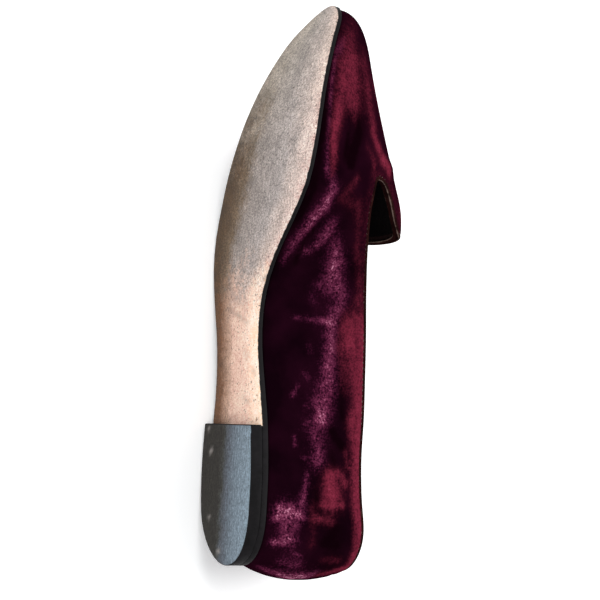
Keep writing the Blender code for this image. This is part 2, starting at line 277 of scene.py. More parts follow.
def modify(made, kind, **settings):
    """Add a modifier with its settings and apply it."""
    only(made)
    modifier = made.modifiers.new(kind.lower(), kind)
    for setting, value in settings.items():
        setattr(modifier, setting, value)
    bpy.ops.object.modifier_apply(modifier=modifier.name)


def rounded(made):
    """Pair the triangles of an object in edit mode into quads and subdivide them twice."""
    bpy.ops.mesh.tris_convert_to_quads(face_threshold=math.radians(60),
                                       shape_threshold=math.radians(120))
    bpy.ops.object.mode_set(mode="OBJECT")
    modify(made, "SUBSURF", levels=2, render_levels=2)


def smooth(made, angle):
    """Smooth shading that keeps edges sharper than the angle."""
    only(made)
    bpy.ops.object.shade_smooth_by_angle(angle=math.radians(angle))


def set_colours(made, name, values):
    """Store up to three numbers from 0 to 1 on every vertex, for a material to read."""
    stored = made.data.attributes.new(name, "FLOAT_COLOR", "POINT")
    rgba = np.ones((len(made.data.vertices), 4), np.float32)
    for column, numbers in enumerate(values):
        rgba[:, column] = np.clip(numbers, 0, 1)
    stored.data.foreach_set("color", rgba.ravel())


def wear(made, node, slot, *materials):
    """Finish a piece: its materials, the body it rides on and the solid it stands for."""
    for material in materials:
        made.data.materials.append(material)
    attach(made, "root")
    if node:
        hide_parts(node)
    print(made.name, "has", sum(len(face.vertices) - 2 for face in made.data.polygons), "triangles")


# %% [markdown]
# ## Velvet upper: the wall
#
# The upper is one wall of velvet and lining, pulled over the last. Its solid has flat facets
# about 5 mm long. They could be remeshed or sculpted smooth, but two rounds of subdivision keep
# the lines of the last and give a point every millimetre or so, which is fine enough for
# creases and for the nap.

# %% Smooth the wall
upper = copy_of("upper", "velvet_upper")
rounded(upper)
print("velvet_upper has", len(upper.data.vertices), "points")

# %% [markdown]
# The velvet is on the outer side and the lining on the inner side. A face is on the outer side
# when it looks away from a line through the middle of the foot.

# %% Tell the velvet side from the lining side
FOOT_LINE = ((30, 0, 32), (110, -2, 32), (180, 17, 26), (230, 27, 22))
foot_x, foot_y, foot_z = np.array(FOOT_LINE, float).T


def looks_out(place, normal):
    """True where a face at a place of the shoe looks away from the foot."""
    x = min(max(place.x, foot_x[0]), foot_x[-1])
    middle = Vector((x, np.interp(x, foot_x, foot_y), np.interp(x, foot_x, foot_z)))
    return (place - middle).dot(normal) > 0


to_shoe_turn = turn.transposed()
VELVET, LINING = 0, 1
for face in upper.data.polygons:
    outside = looks_out(to_shoe @ face.center, to_shoe_turn @ face.normal)
    face.material_index = VELVET if outside else LINING

places = shoe_places(upper)
outer_faces = [face.vertices[:] for face in upper.data.polygons if face.material_index == VELVET]
velvet_side = BVHTree.FromPolygons([Vector(p) for p in places], outer_faces)
nearest = [velvet_side.find_nearest(Vector(p)) for p in places]
outward = np.array([hit[1] for hit in nearest])
print("faces with velvet:", len(outer_faces), "of", len(upper.data.polygons))

# %% [markdown]
# ## Distance from the bound edge
#
# The velvet is pressed smooth along the collar, where a crimson band of it also holds painted sheen,
# and the binding is folded a few millimetres over the lining. Both follow the collar's edge, so the
# distance from it is measured once, from the solid of the binding.

# %% How far each point is from the binding
binding = copy_of("collar_binding", "bound_edge")
bpy.ops.object.mode_set(mode="OBJECT")
bead_side = BVHTree.FromPolygons([Vector(p) for p in shoe_places(binding)],
                                 [face.vertices[:] for face in binding.data.polygons])
from_bead = np.array([bead_side.find_nearest(Vector(p))[3] for p in places])
print("farthest point from the binding:", from_bead.max().round(1), "mm")

# %% [markdown]
# ## Lines on the flank
#
# Creases and marks are drawn as lines on the flank, in the shoe's measure: how far from the heel and
# how high. A ray sent level from the side finds the point of the velvet there.
# Each knot of a line has a reach and a strength of its own, and between two knots both change
# evenly, so that one line can start thin and faint and end broad and strong.

# %% Strength of a drawn line
INNER_SIDE, OUTER_SIDE = 1.0, -1.0
FAR_AWAY = 300.0


def on_flank(side):
    """Finder of the velvet that is seen level from one side, at x and z of the shoe."""
    def find(x, z):
        start = Vector((x, side * FAR_AWAY, z))
        return np.array(velvet_side.ray_cast(start, Vector((0, -side, 0)))[0]
                        or velvet_side.find_nearest(start)[0])
    return find


def crisp(ratio):
    """Strength left at so many reaches from a line that ends soon."""
    return np.exp(-ratio ** 2)


def faded(ratio):
    """Strength left at so many reaches from a line that fades slowly."""
    return (1 + ratio ** 2) ** -1.5


def stroke(points, knots, find, falloff=crisp):
    """Strength at every point of a line of knots, each two coordinates, a reach and a strength."""
    strength = np.zeros(len(points))
    for (a0, b0, reach0, power0), (a1, b1, reach1, power1) in zip(knots, knots[1:]):
        start = find(a0, b0)
        run = find(a1, b1) - start
        share = np.clip((points - start) @ run / max(run @ run, 1e-9), 0, 1)
        away = np.linalg.norm(points - start - share[:, None] * run, axis=1)
        reach = reach0 + (reach1 - reach0) * share
        power = power0 + (power1 - power0) * share
        found = power * falloff(away / reach)
        strength = np.where(abs(found) > abs(strength), found, strength)
    return strength


# %% [markdown]
# ## Creases
#
# A worn upper bends at the ball of the foot, and the bend leaves soft folds that fan down to
# the sole. Cloth simulation would find folds of its own, but these have known places, so they
# are drawn: a strength above nought is a ridge and below nought a trough, in millimetres. The
# wall moves along its own outward direction, velvet and lining together. Behind the ankle the
# velvet is sewn flat to the stiff counter, which leaves a shallow groove below the collar.

# %% Ridges and troughs
CREASES = (
    ((170, 15.5, 2.6, 0.3), (162, 13.5, 2.8, 0.9), (147, 7.5, 2.4, 0.7)),
    ((160, 19, 2.0, -0.4), (152, 15.5, 1.9, -1.0), (141, 10, 2.2, -0.6)),
    ((157, 23, 2.6, 0.4), (149, 20, 2.2, 0.8), (142, 12.5, 1.8, 0.8)),
    ((153, 29, 2.2, -0.4), (144, 21, 2.4, -0.8), (136, 13, 2.2, -0.5)),
    ((119.5, 16, 1.4, -0.3), (119, 28, 1.6, -0.8), (119, 36, 1.6, -0.3)),
    ((115.5, 17, 1.5, 0.3), (116, 28, 1.8, 0.8), (115.5, 39, 2.4, 0.3)),
    ((131, 16, 3.0, -0.2), (129, 34, 3.0, -0.4)),
    ((198, 20, 5.0, -0.3), (186, 24, 6.0, -0.7), (178, 32, 5.0, -0.3)),
    ((205, 26, 4.5, -0.3), (199, 40, 4.5, -0.4)),
    ((178, 15, 3.5, 0.3), (169, 28, 3.5, 0.4)),
    ((194, 42, 3.0, 0.3), (190, 50, 3.4, 1.0), (189, 58, 3.2, 0.7)),
    ((184, 42, 2.6, -0.2), (182, 52, 2.6, -0.5)),
    ((40, 34, 6.0, -0.5), (30, 33, 6.0, -0.5)),
    ((36, 33, 1.6, 0.1), (33, 36, 1.6, 0.5), (33, 46, 1.6, 0.5)),
)
OUTER_CREASES_SHARE = 0.7
COLLAR_SEAM = 7.4
SEAM_GROOVE = (-0.4, 0.9)   # depth and half width
SEAM_FRONT, SEAM_FADE = 70.0, 4.0   # where the groove ends, and how softly

lift = sum(share * stroke(places, knots, on_flank(side)) for knots in CREASES
           for side, share in ((INNER_SIDE, 1.0), (OUTER_SIDE, OUTER_CREASES_SHARE)))
behind_ankle = 1 / (1 + np.exp((places[:, 0] - SEAM_FRONT) / SEAM_FADE))
groove = np.exp(-((from_bead - COLLAR_SEAM) / SEAM_GROOVE[1]) ** 2)
lift += SEAM_GROOVE[0] * groove * behind_ankle
places = places + outward * lift[:, None]
move_to(upper, places)
print("creases:", len(CREASES), "on each flank, from", lift.min().round(2), "to", lift.max().round(2))

# %% [markdown]
# ## The nap
#
# Velvet is dark where its pile stands towards the eye and bright where it leans away, so a worn slipper
# is patched with both. The patches are drawn as lines too, and they hold painted light and shade as
# well as the pile's own pattern. Plum ones sparkle with painted glints and are painted highlights on
# ridges and where the wall turns. Crimson ones are pressed smooth and hold painted sheen along the
# grazing edges. Black ones are upright pile, and painted shade in troughs and along the foot of the
# wall by the sole. They are stored on the points of the wall. The shader then frays their edges with
# noise, which gives the fine detail that points cannot. Hair could grow the pile itself, but from here
# only its tone shows.

# %% Patches of the nap
NAP_AND_PAINTED_LIGHT = {
    # each knot: x, z, reach in millimetres, strength
    # plum: the pile's own bright pattern, with painted highlights on crease ridges, where the wall
    # turns and along the bottom of the back
    "plum": (
        ((176, 12.7, 3.0, 0.5), (169.5, 15.7, 3.8, 0.65), (163.5, 14.3, 3.6, 0.9),
         (155.5, 10.8, 3.2, 0.95), (147.5, 7.5, 2.8, 0.7), (138.5, 6.5, 2.2, 0.4)),
        ((157, 22, 4.0, 0.6), (152.5, 21.5, 3.2, 0.75), (146.5, 18.7, 2.4, 0.85), (143, 13, 2.0, 0.9)),
        ((150.5, 27.5, 4.0, 0.55), (143, 31, 5.6, 0.8), (133, 34, 5.8, 0.85), (128, 40, 5.2, 0.6),
         (122, 40.5, 5.4, 0.7), (115.5, 38, 4.6, 0.8), (105, 39.5, 4.8, 0.75), (96, 39, 5.4, 0.72),
         (89, 39, 6.0, 0.72), (81, 36.5, 6.0, 0.82), (70.5, 35, 5.2, 0.9)),
        ((131, 27, 3.0, 0.4), (128.5, 31.5, 3.0, 0.4)),
        ((126, 24.5, 3.0, 0.3), (123, 28, 3.0, 0.3)),
        ((116, 17.5, 1.0, 0.5), (116, 25.5, 1.3, 0.85), (115.5, 32, 1.6, 0.85), (115.5, 38, 2.4, 0.85)),
        ((67.5, 28, 4.0, 0.4), (61, 33, 4.8, 0.6), (51, 33.5, 4.6, 0.68)),
        ((104, 27.5, 2.0, 0.35), (102, 29, 2.0, 0.35)),
        ((91.5, 26.5, 2.4, 0.35), (89, 28, 2.4, 0.35)),
        ((85, 23, 1.5, 0.5), (80, 21, 1.5, 0.65)),
        ((76.5, 27.5, 1.5, 0.4), (76, 28, 1.5, 0.4)),
        ((62, 21, 1.1, 0.6), (58, 21.5, 1.1, 0.6)),
        ((53, 24, 1.2, 0.4), (52.5, 27, 1.2, 0.4)),
        ((45, 27.5, 2.0, 0.55), (38.5, 27, 2.0, 0.65), (31.5, 25.5, 2.4, 0.8)),
        ((30, 14.5, 2.2, 1.0), (25.5, 13.5, 2.2, 1.0)),
        ((28, 16, 4.0, 0.9), (27, 24.5, 4.0, 0.8), (22, 22, 3.6, 0.55)),
        ((14.5, 13, 2.0, 0.9), (16, 17, 2.6, 0.85), (16.5, 22.5, 3.0, 0.65)),
        ((10, 24, 1.8, 0.5), (9, 28, 1.8, 0.5)),
        ((7, 20, 4.0, 0.5), (5, 28, 4.0, 0.5)),
        ((3, 14, 3.0, 0.5), (1, 22, 4.0, 0.8), (-0.5, 30, 5.2, 1.2), (-0.5, 35.5, 5.2, 1.2),
         (1, 40, 3.6, 0.8)),
        ((29, 19, 5.0, 0.6), (21, 18, 5.0, 0.6), (15, 20, 5.0, 0.5)),
        ((236, 14.5, 1.4, 0.5), (218, 10.5, 1.4, 0.6), (203.5, 8.7, 1.5, 0.6), (185, 8.2, 1.7, 0.65),
         (176, 10.5, 2.2, 0.6)),
        ((240, 19, 2.4, 0.5), (233, 16, 2.6, 0.65)),
    ),
    # crimson: pressed pile, with painted sheen along the grazing edges, as on the top of the vamp and
    # by the collar
    "crimson": (
        ((252, 26, 7.0, 0.28), (242, 22, 8.0, 0.46), (230, 22.5, 10.0, 0.7), (218, 22, 10.0, 0.68),
         (209, 23, 8.0, 0.6), (203, 24, 6.0, 0.35)),
        ((226, 17, 4.5, 0.4), (215, 15.5, 4.8, 0.55), (200, 12.5, 4.2, 0.8), (191, 11, 3.4, 0.75),
         (182, 12.5, 3.0, 0.72), (175, 13, 2.6, 0.4)),
        ((236, 33, 6.0, 0.35), (222, 35, 6.0, 0.5), (208, 37, 6.0, 0.55), (198, 39.5, 5.0, 0.65),
         (190, 45, 4.4, 0.85), (186, 53, 4.0, 0.85)),
        ((225, 44, 7.0, 0.5), (205, 54, 8.0, 0.6), (190, 62, 8.0, 0.65), (170, 70, 9.0, 0.6)),
        ((192, 33, 3.4, 0.35), (187, 38, 3.6, 0.45), (178, 40, 3.6, 0.42)),
        ((177, 28, 3.2, 0.42), (167, 22, 4.2, 0.4), (166, 32, 5.0, 0.42), (158, 38, 5.0, 0.36),
         (151, 40, 4.6, 0.38), (143, 45, 4.2, 0.38), (127, 51, 4.2, 0.42)),
        ((121, 49, 5.5, 0.5), (115, 48, 6.0, 0.7), (107, 50, 6.2, 0.9), (100, 52, 5.2, 0.65),
         (90, 52.5, 4.8, 0.6), (80, 54, 4.2, 0.55), (71, 52, 4.4, 0.75), (62, 52.5, 4.0, 0.65)),
        ((119, 44, 4.5, 0.4), (106, 45, 5.0, 0.5), (95, 46, 4.5, 0.4), (84, 47, 3.5, 0.35)),
        ((57.5, 48, 2.4, 0.45), (49.5, 50, 2.4, 0.5)),
        ((47, 43, 3.6, 0.6), (43, 48, 3.6, 0.7)),
        ((45, 40, 5.0, 0.85), (36, 41, 6.8, 0.95)),
        ((32.2, 34.5, 1.9, 0.65), (32.3, 46.5, 1.9, 0.8)),
        ((26, 33, 3.0, 0.55), (24.5, 42, 2.8, 0.5)),
        ((30, 31, 3.5, 0.3), (14, 32, 3.5, 0.3)),
        ((1, 44, 3.2, 0.7), (5.4, 60, 3.6, 0.85)),
        ((8, 40, 3.0, 0.35), (8, 50, 3.0, 0.45)),
    ),
    # black: upright pile, with painted shade in the crease troughs and along the foot of the wall by
    # the sole
    "black": (
        ((226, 9.5, 1.2, 0.7), (203, 6.2, 1.5, 0.9), (184.5, 4.4, 2.2, 0.95), (168, 5.4, 2.6, 0.95),
         (153.5, 4.2, 2.0, 0.7)),
        ((207, 27, 2.2, 0.4), (197, 26.5, 3.4, 0.95), (188, 23.5, 4.4, 1.0), (182, 23, 3.8, 0.95)),
        ((195, 20, 2.2, 0.7), (184, 18.5, 2.0, 0.7)),
        ((156, 15.6, 1.4, 0.7), (148, 12.5, 1.6, 0.85), (139, 12, 2.4, 0.6)),
        ((119.5, 27, 1.0, 0.8), (118.7, 34, 1.0, 0.8)),
        ((85, 46, 2.4, 0.5), (72.5, 46, 2.4, 0.7)),
        ((66, 40.5, 3.0, 0.8), (60, 45.5, 3.2, 1.0)),
        ((55, 40.5, 3.0, 0.6), (50, 42, 2.6, 0.6)),
        ((38, 33, 2.4, 0.7), (30, 34, 2.2, 0.6)),
        ((22, 45, 4.0, 0.8), (16, 40, 5.0, 0.85), (15, 46, 4.0, 0.7)),
    ),
}
# the pressed band below the collar is partly painted sheen
PRESSED_AND_SHEEN = (6.4, 1.1)   # width of the pressed band below the collar, and how soft its border is
PRESSED_AND_SHEEN_STRENGTH = 0.85
COLLAR_FRONT, COLLAR_FADE = 122.0, 4.0
PRESSED_AND_SHEEN_AHEAD = 0.38   # share of the pressing that is left ahead of the collar's front
BINDING_FOLD = 10.0    # distance from the bound edge at which the stored number is 1


def nap_and_painted_light_of(kind):
    """Strength of one kind of patch at every point of the wall, both flanks alike."""
    drawn = np.array([stroke(places, knots, on_flank(side), faded) for knots in NAP_AND_PAINTED_LIGHT[kind]
                      for side in (INNER_SIDE, OUTER_SIDE)])
    return np.linalg.norm(drawn, axis=0)


# band along the collar: pressed pile and painted sheen
pressed_and_sheen = PRESSED_AND_SHEEN_STRENGTH / (1 + np.exp((from_bead - PRESSED_AND_SHEEN[0]) / PRESSED_AND_SHEEN[1]))
behind_front = 1 / (1 + np.exp((places[:, 0] - COLLAR_FRONT) / COLLAR_FADE))
pressed_and_sheen *= PRESSED_AND_SHEEN_AHEAD + (1 - PRESSED_AND_SHEEN_AHEAD) * behind_front
set_colours(upper, "nap_and_painted_light", (nap_and_painted_light_of("plum"), np.maximum(nap_and_painted_light_of("crimson"), pressed_and_sheen), nap_and_painted_light_of("black")))
set_colours(upper, "edge", (from_bead / BINDING_FOLD,))
print("patches of the nap:", {kind: len(rows) for kind, rows in NAP_AND_PAINTED_LIGHT.items()})

# %% [markdown]
# Velvet is a cut silk or cotton pile. It has no gloss of its own: its look is a near-black ground, fine
# points of light where single tufts catch it, and a faint brightness at grazing angles, which the
# shader calls sheen. Three noises of falling size fray the patches: one for the brushed marks of a
# hand, one for small locks of pile, and one for single tufts, which paints the plum patches' fine
# points of light as glints.

# %% Crushed velvet: noises and frayed patches
BRUSHED = 6.0
LOCK = 1.9
TUFT = 0.85          # one tuft, in millimetres, drawn about twice its real size so that it shows
GROUND_MARK = 18.0
BARE_NOISE = 0.12    # how much of the noises shows where no patch is drawn

velvet, velvet_shader, place = start_material(
    "crushed_velvet", 0.9, Sheen_Weight=0.05, Sheen_Roughness=0.4, Specular_IOR_Level=0.0)
velvet_shader.inputs["Sheen Tint"].default_value = linear("#8a2440")
stored = add(velvet, "Attribute", attribute_name="nap_and_painted_light")
kinds = add(velvet, "SeparateColor", {"Color": stored.outputs["Color"]})
noises = [
    add(velvet, "TexNoise", {"Vector": place, "Scale": 1 / size, "Detail": detail, "Roughness": 0.65})
    for size, detail in ((BRUSHED, 4.0), (LOCK, 3.0), (TUFT, 2.0))
]
print("noises of the velvet:", len(noises))


def frayed(kind, *shares):
    """Strength of a kind of patch, stirred by a share of each noise where the patch is strong."""
    stirred = -sum(shares) / 2
    for noise, share in zip(noises, shares):
        step = add(velvet, "Math", {0: noise.outputs["Fac"], 1: share, 2: stirred},
                   operation="MULTIPLY_ADD")
        stirred = step.outputs[0]
    gain = add(velvet, "Math", {0: kinds.outputs[kind], 1: BARE_NOISE}, operation="ADD")
    value = add(velvet, "Math", {0: stirred, 1: gain.outputs[0], 2: kinds.outputs[kind]},
                operation="MULTIPLY_ADD")
    return value.outputs[0]


plum = frayed("Red", 1.4, 1.2, 2.6)
crimson = frayed("Green", 0.8, 0.7, 1.3)
black = frayed("Blue", 1.2, 0.6, 0.1)

# %% [markdown]
# The three kinds, with their painted highlights, sheen and shade, are laid in turn over a near-black
# ground. A plain mix of two colours would look flat, so each coat has a ramp from weak to strong: a
# patch glows in its middle and sinks into the ground at its border.

# %% Crushed velvet: colours
FULL = 1.5           # strength at which a patch has its last colour
mark = add(velvet, "TexNoise", {"Vector": place, "Scale": 1 / GROUND_MARK, "Detail": 3.0})
colour = add(velvet, "ValToRGB", {"Fac": mark.outputs["Fac"]},
             stops=((0.35, "#0e0208"), (0.7, "#1d0511"))).outputs["Color"]
COATS = (
    # strength of the patch, where it starts and is full, and its colours from weak to strong
    # the plum's pale top stops are painted glints and highlights, the crimson's top is painted sheen
    (plum, 0.05, 0.6, ((0.05, "#1d0612"), (0.3, "#3a1025"), (0.55, "#5a213a"), (0.75, "#823f5a"),
                       (1.0, "#bb8096"))),
    (crimson, 0.05, 0.7, ((0.1, "#280811"), (0.35, "#4a1422"), (0.6, "#681f30"), (0.85, "#7e2c40"))),
    (black, 0.1, 0.8, ((0.0, "#0d0206"), (1.0, "#0a0105"))),
)
for strength, low, high, stops in COATS:
    cover = add(velvet, "MapRange", {"Value": strength, "From Min": low, "From Max": high},
                interpolation_type="SMOOTHSTEP")
    scaled = add(velvet, "Math", {0: strength, 1: FULL}, operation="DIVIDE")
    tone = add(velvet, "ValToRGB", {"Fac": scaled.outputs[0]}, stops=stops)
    mixed = add(velvet, "Mix", {FACTOR: cover.outputs["Result"], FIRST: colour,
                                SECOND: tone.outputs["Color"]}, data_type="RGBA")
    colour = mixed.outputs[MIXED]
wire(velvet, colour, velvet_shader.inputs["Base Color"])
pile = add(velvet, "Bump", {"Height": noises[2].outputs["Fac"], "Strength": 0.4,
                            "Distance": 0.3 * MM})
wire(velvet, pile.outputs["Normal"], velvet_shader.inputs["Normal"])
print("crushed_velvet has", len(velvet.node_tree.nodes), "nodes")

# %% [markdown]
# The inside is lined in black cloth. The binding comes over the edge and ends 4 mm down the
# lining with a cut edge, so the lining's material reads the distance from the bound edge and
# turns to the binding's leather there, with a small step.

# %% Black lining with the binding's turned edge
LINING_THREAD = 0.6
TURNED_WIDTH = 4.0

lining, lining_shader, place = start_material("black_lining", 0.8, Specular_IOR_Level=0.1)
weave = add(lining, "TexNoise", {"Vector": place, "Scale": 1 / LINING_THREAD, "Detail": 2.0})
cloth = add(lining, "ValToRGB", {"Fac": weave.outputs["Fac"]},
            stops=((0.3, "#080405"), (0.7, "#140c0d")))
edge = add(lining, "Attribute", attribute_name="edge")
away = add(lining, "SeparateColor", {"Color": edge.outputs["Color"]})
turned = add(lining, "MapRange", {"Value": away.outputs[0],
                                  "From Min": (TURNED_WIDTH - 0.3) / BINDING_FOLD,
                                  "From Max": TURNED_WIDTH / BINDING_FOLD,
                                  "To Min": 1.0, "To Max": 0.0})
inside = add(lining, "Mix", {FACTOR: turned.outputs["Result"], FIRST: cloth.outputs["Color"],
                             SECOND: linear("#2c1a1a")}, data_type="RGBA")
wire(lining, inside.outputs[MIXED], lining_shader.inputs["Base Color"])
step = add(lining, "Math", {0: turned.outputs["Result"], 1: 2.0, 2: weave.outputs["Fac"]},
           operation="MULTIPLY_ADD")
relief = add(lining, "Bump", {"Height": step.outputs[0], "Strength": 0.6, "Distance": 0.3 * MM})
wire(lining, relief.outputs["Normal"], lining_shader.inputs["Normal"])
smooth(upper, 50)
wear(upper, "upper", "velvet", velvet, lining)

# %% [markdown]
# ## Binding
#
# The collar, the notches and the tongue are edged with a narrow strip of leather, folded over
# the raw edge. Its solid is an eight-sided bead that stands a little clear of the wall, as
# separate solids must. A curve with a round section could take its place, but the solid already
# follows the edge: subdivision makes it round, and it is then drawn on to the wall, each point
# along the way from the bead's middle to the nearest point of the wall.

# %% Bound edge, drawn on to the wall
SOLID_RADIUS = 1.0
BEAD_RADIUS = 0.85
BEAD_STANDS = 0.4    # how far the bead's middle stays beyond the wall

only(binding)
bpy.ops.object.mode_set(mode="EDIT")
bpy.ops.mesh.select_all(action="SELECT")
rounded(binding)
wall = BVHTree.FromPolygons([Vector(p) for p in places],
                            [face.vertices[:] for face in upper.data.polygons])
bead = shoe_places(binding)
bead_normals = np.array([to_shoe_turn @ vertex.normal for vertex in binding.data.vertices])
middles = bead - bead_normals * SOLID_RADIUS
to_wall = np.array([wall.find_nearest(Vector(p))[0] for p in middles]) - middles
gap = np.linalg.norm(to_wall, axis=1)[:, None]
down = to_wall / gap
middles = middles + down * (gap - BEAD_STANDS)
move_to(binding, middles + bead_normals * BEAD_RADIUS)
set_colours(binding, "crest", (-(bead_normals * down).sum(axis=1),))
print("bead drawn in by", round(float((gap - BEAD_STANDS).mean()), 2), "mm on average")

# %% [markdown]
# The strip is brown calf. The pale line along its crest is a painted highlight: how far a point looks
# away from the wall was stored with the bead, and noise breaks the pale line into dashes.

# %% Calf leather of the binding
GRAIN = 0.8
RUB = 7.0

leather, leather_shader, place = start_material("binding_calf", 0.5, Specular_IOR_Level=0.0)
grain = add(leather, "TexVoronoi", {"Vector": place, "Scale": 1 / GRAIN})
rub = add(leather, "TexNoise", {"Vector": place, "Scale": 1 / RUB, "Detail": 4.0, "Roughness": 0.7})
tone = add(leather, "ValToRGB", {"Fac": rub.outputs["Fac"]},
           stops=((0.35, "#160909"), (0.6, "#2b1413"), (0.8, "#4a302b")))
crest = add(leather, "Attribute", attribute_name="crest")
height = add(leather, "SeparateColor", {"Color": crest.outputs["Color"]})
dashed = add(leather, "Math", {0: rub.outputs["Fac"], 1: 0.9, 2: height.outputs["Red"]},
             operation="MULTIPLY_ADD")
# pale line along the crest: a painted highlight, broken into dashes
pale = add(leather, "MapRange", {"Value": dashed.outputs[0], "From Min": 1.25, "From Max": 1.5,
                                 "To Max": 0.85}, interpolation_type="SMOOTHSTEP")
calf_with_highlight = add(leather, "Mix", {FACTOR: pale.outputs["Result"], FIRST: tone.outputs["Color"],
                              SECOND: linear("#8b756c")}, data_type="RGBA")
wire(leather, calf_with_highlight.outputs[MIXED], leather_shader.inputs["Base Color"])
pores = add(leather, "Bump", {"Height": grain.outputs["Distance"], "Strength": 0.3,
                              "Distance": 0.15 * MM})
wire(leather, pores.outputs["Normal"], leather_shader.inputs["Normal"])
smooth(binding, 60)
wear(binding, "collar_binding", "binding_leather", leather)

# %% [markdown]
# On the inside the strip runs on over the padded edge and is folded under before it is sewn, so
# it ends in a second, thinner roll. It is a copy of the bead with a flatter section: the side of
# the bead that looks inwards is drawn out to the strip's width and thickened at its end.

# %% Inner fold of the binding
STRIP_WIDTH = 3.2
STRIP_SLOPE = 0.4                   # how far it comes down for each step inwards
STRIP_HALF, ROLL_HALF = 0.35, 0.6   # half the thickness of the strip and of the roll
ROLL_START = 0.6                    # place on the section, from -1 to 1, where the roll starts

fold = bpy.data.objects.new("turned_edge", binding.data.copy())
fold.data.name = "turned_edge"
bpy.context.scene.collection.objects.link(fold)
at = np.clip(middles[:, 0], foot_x[0], foot_x[-1])
foot = np.stack((at, np.interp(at, foot_x, foot_y), np.interp(at, foot_x, foot_z)), axis=1)
to_foot = foot - middles
inward = to_foot - down * (to_foot * down).sum(axis=1)[:, None]
inward /= np.linalg.norm(inward, axis=1)[:, None]
along = (inward + down * STRIP_SLOPE) / math.hypot(1, STRIP_SLOPE)
reach = (bead_normals * along).sum(axis=1)[:, None]
half = np.where(reach > ROLL_START, ROLL_HALF, STRIP_HALF)
drawn_out = along * (1 + reach) * STRIP_WIDTH / 2
move_to(fold, middles + drawn_out + (bead_normals - reach * along) * half)
fold.data.attributes.remove(fold.data.attributes["crest"])
# the roll at the strip's end gets the same painted highlight
set_colours(fold, "crest", (reach[:, 0],))
smooth(fold, 60)
fold.data.materials.clear()
wear(fold, None, "binding_leather", leather)

# %% [markdown]
# ## Stitches
#
# A waxed thread sews the binding down just below the bead. A row of dashes in the material would
# be quicker, but stitches stand proud and catch light. So one stitch is modelled: a short rod
# whose ends are rounded and dive into the cloth.

# %% One stitch
STITCH_LENGTH, STITCH_RADIUS = 1.5, 0.2
STITCH_DIVES = 0.3   # how far its ends go down

bpy.ops.object.select_all(action="DESELECT")
bpy.ops.mesh.primitive_cylinder_add(vertices=8, radius=STITCH_RADIUS, depth=STITCH_LENGTH,
                                    rotation=(0, math.radians(90), 0))
stitches = bpy.context.active_object
stitches.name = stitches.data.name = "binding_stitches"
bpy.ops.object.transform_apply(location=False, rotation=True, scale=False)
bpy.ops.object.mode_set(mode="EDIT")
bpy.ops.mesh.select_all(action="SELECT")
bpy.ops.mesh.subdivide(number_cuts=1)
bpy.ops.mesh.bevel(offset=STITCH_RADIUS / 2, segments=1)
bpy.ops.object.mode_set(mode="OBJECT")
for vertex in stitches.data.vertices:
    vertex.co.z -= STITCH_DIVES * (2 * vertex.co.x / STITCH_LENGTH) ** 2
print("one stitch has", len(stitches.data.polygons), "faces")

# %% [markdown]
# The stitch is copied along the rim, each copy turned that way and set on the velvet, which an
# array along a curve could not do. The way along the rim is walked over the bead's middles:
# those near the last step are struck off, and the next step goes to the nearest one that is left.

# %% Way along the rim
STEP = 1.3
WALK_START = (70, 25, 60)
STITCH_PITCH = 2.6

left = middles
walk = [left[np.argmin(np.linalg.norm(left - WALK_START, axis=1))]]
while len(left):
    away = np.linalg.norm(left - walk[-1], axis=1)
    nearest = left[np.argmin(np.where(away > STEP, away, np.inf))]
    left = left[away > STEP]
    ring = left[np.linalg.norm(left - nearest, axis=1) < STEP / 2]
    if len(ring):
        walk.append(ring.mean(axis=0))
closed = np.array(walk + walk[:1])
run = np.append(0, np.cumsum(np.linalg.norm(np.diff(closed, axis=0), axis=1)))
marks = np.linspace(0, run[-1], round(run[-1] / STITCH_PITCH), endpoint=False)
spots = np.stack([np.interp(marks, run, closed[:, i]) for i in range(3)], axis=1)
print("rim walked in", len(walk), "steps,", round(run[-1]), "mm, longest step",
      np.diff(run).max().round(1), "mm")

# %% A row of stitches
STITCH_BELOW = 0.75

ahead = np.roll(spots, -1, axis=0) - np.roll(spots, 1, axis=0)
velvet_now = BVHTree.FromPolygons([Vector(p) for p in places], outer_faces)
row = []
for spot, heading in zip(spots, ahead):
    edge = wall.find_nearest(Vector(spot))[0]
    below = edge + (edge - Vector(spot)).normalized() * STITCH_BELOW
    seat, up = velvet_now.find_nearest(below)[:2]
    stitch = bpy.data.objects.new("stitch", stitches.data.copy())
    bpy.context.scene.collection.objects.link(stitch)
    turned_to = turn_of(Vector(heading), up).to_4x4()
    stitch.data.transform(to_world @ Matrix.Translation(seat) @ turned_to)
    row.append(stitch)
only(row[0])
for stitch in row:
    stitch.select_set(True)
bpy.ops.object.join()
bpy.data.objects.remove(stitches)
stitches = row[0]
stitches.name = stitches.data.name = "binding_stitches"
print("stitches:", len(row))

# %% [markdown]
# Such thread is linen drawn through wax, dyed to match the calf. Some stitches are pale and others
# dark, and one noise, larger than a stitch, picks which.

# %% Waxed thread
STITCH_TONE = 9.0

thread, thread_shader, place = start_material("waxed_thread", 0.6, Specular_IOR_Level=0.1)
stitch_tone = add(thread, "TexNoise", {"Vector": place, "Scale": 1 / STITCH_TONE, "Detail": 2.0})
tone = add(thread, "ValToRGB", {"Fac": stitch_tone.outputs["Fac"]},
           stops=((0.46, "#2c1818"), (0.66, "#957c74")))
wire(thread, tone.outputs["Color"], thread_shader.inputs["Base Color"])
smooth(stitches, 60)
wear(stitches, None, "binding_leather", thread)

# %% [markdown]
# ## Leather sole
#
# The sole is one thin piece of leather with a black painted edge, walked grey under the ball and
# still pink and tan at the waist. Its solid has its flat faces in large triangles. A remesh would
# blur the outline, so the faces are dissolved to plain outlines, the hard edges are rounded by a
# bevel, and the sole is then cut across and along in a fine net, so that it has points that can
# store where they are.

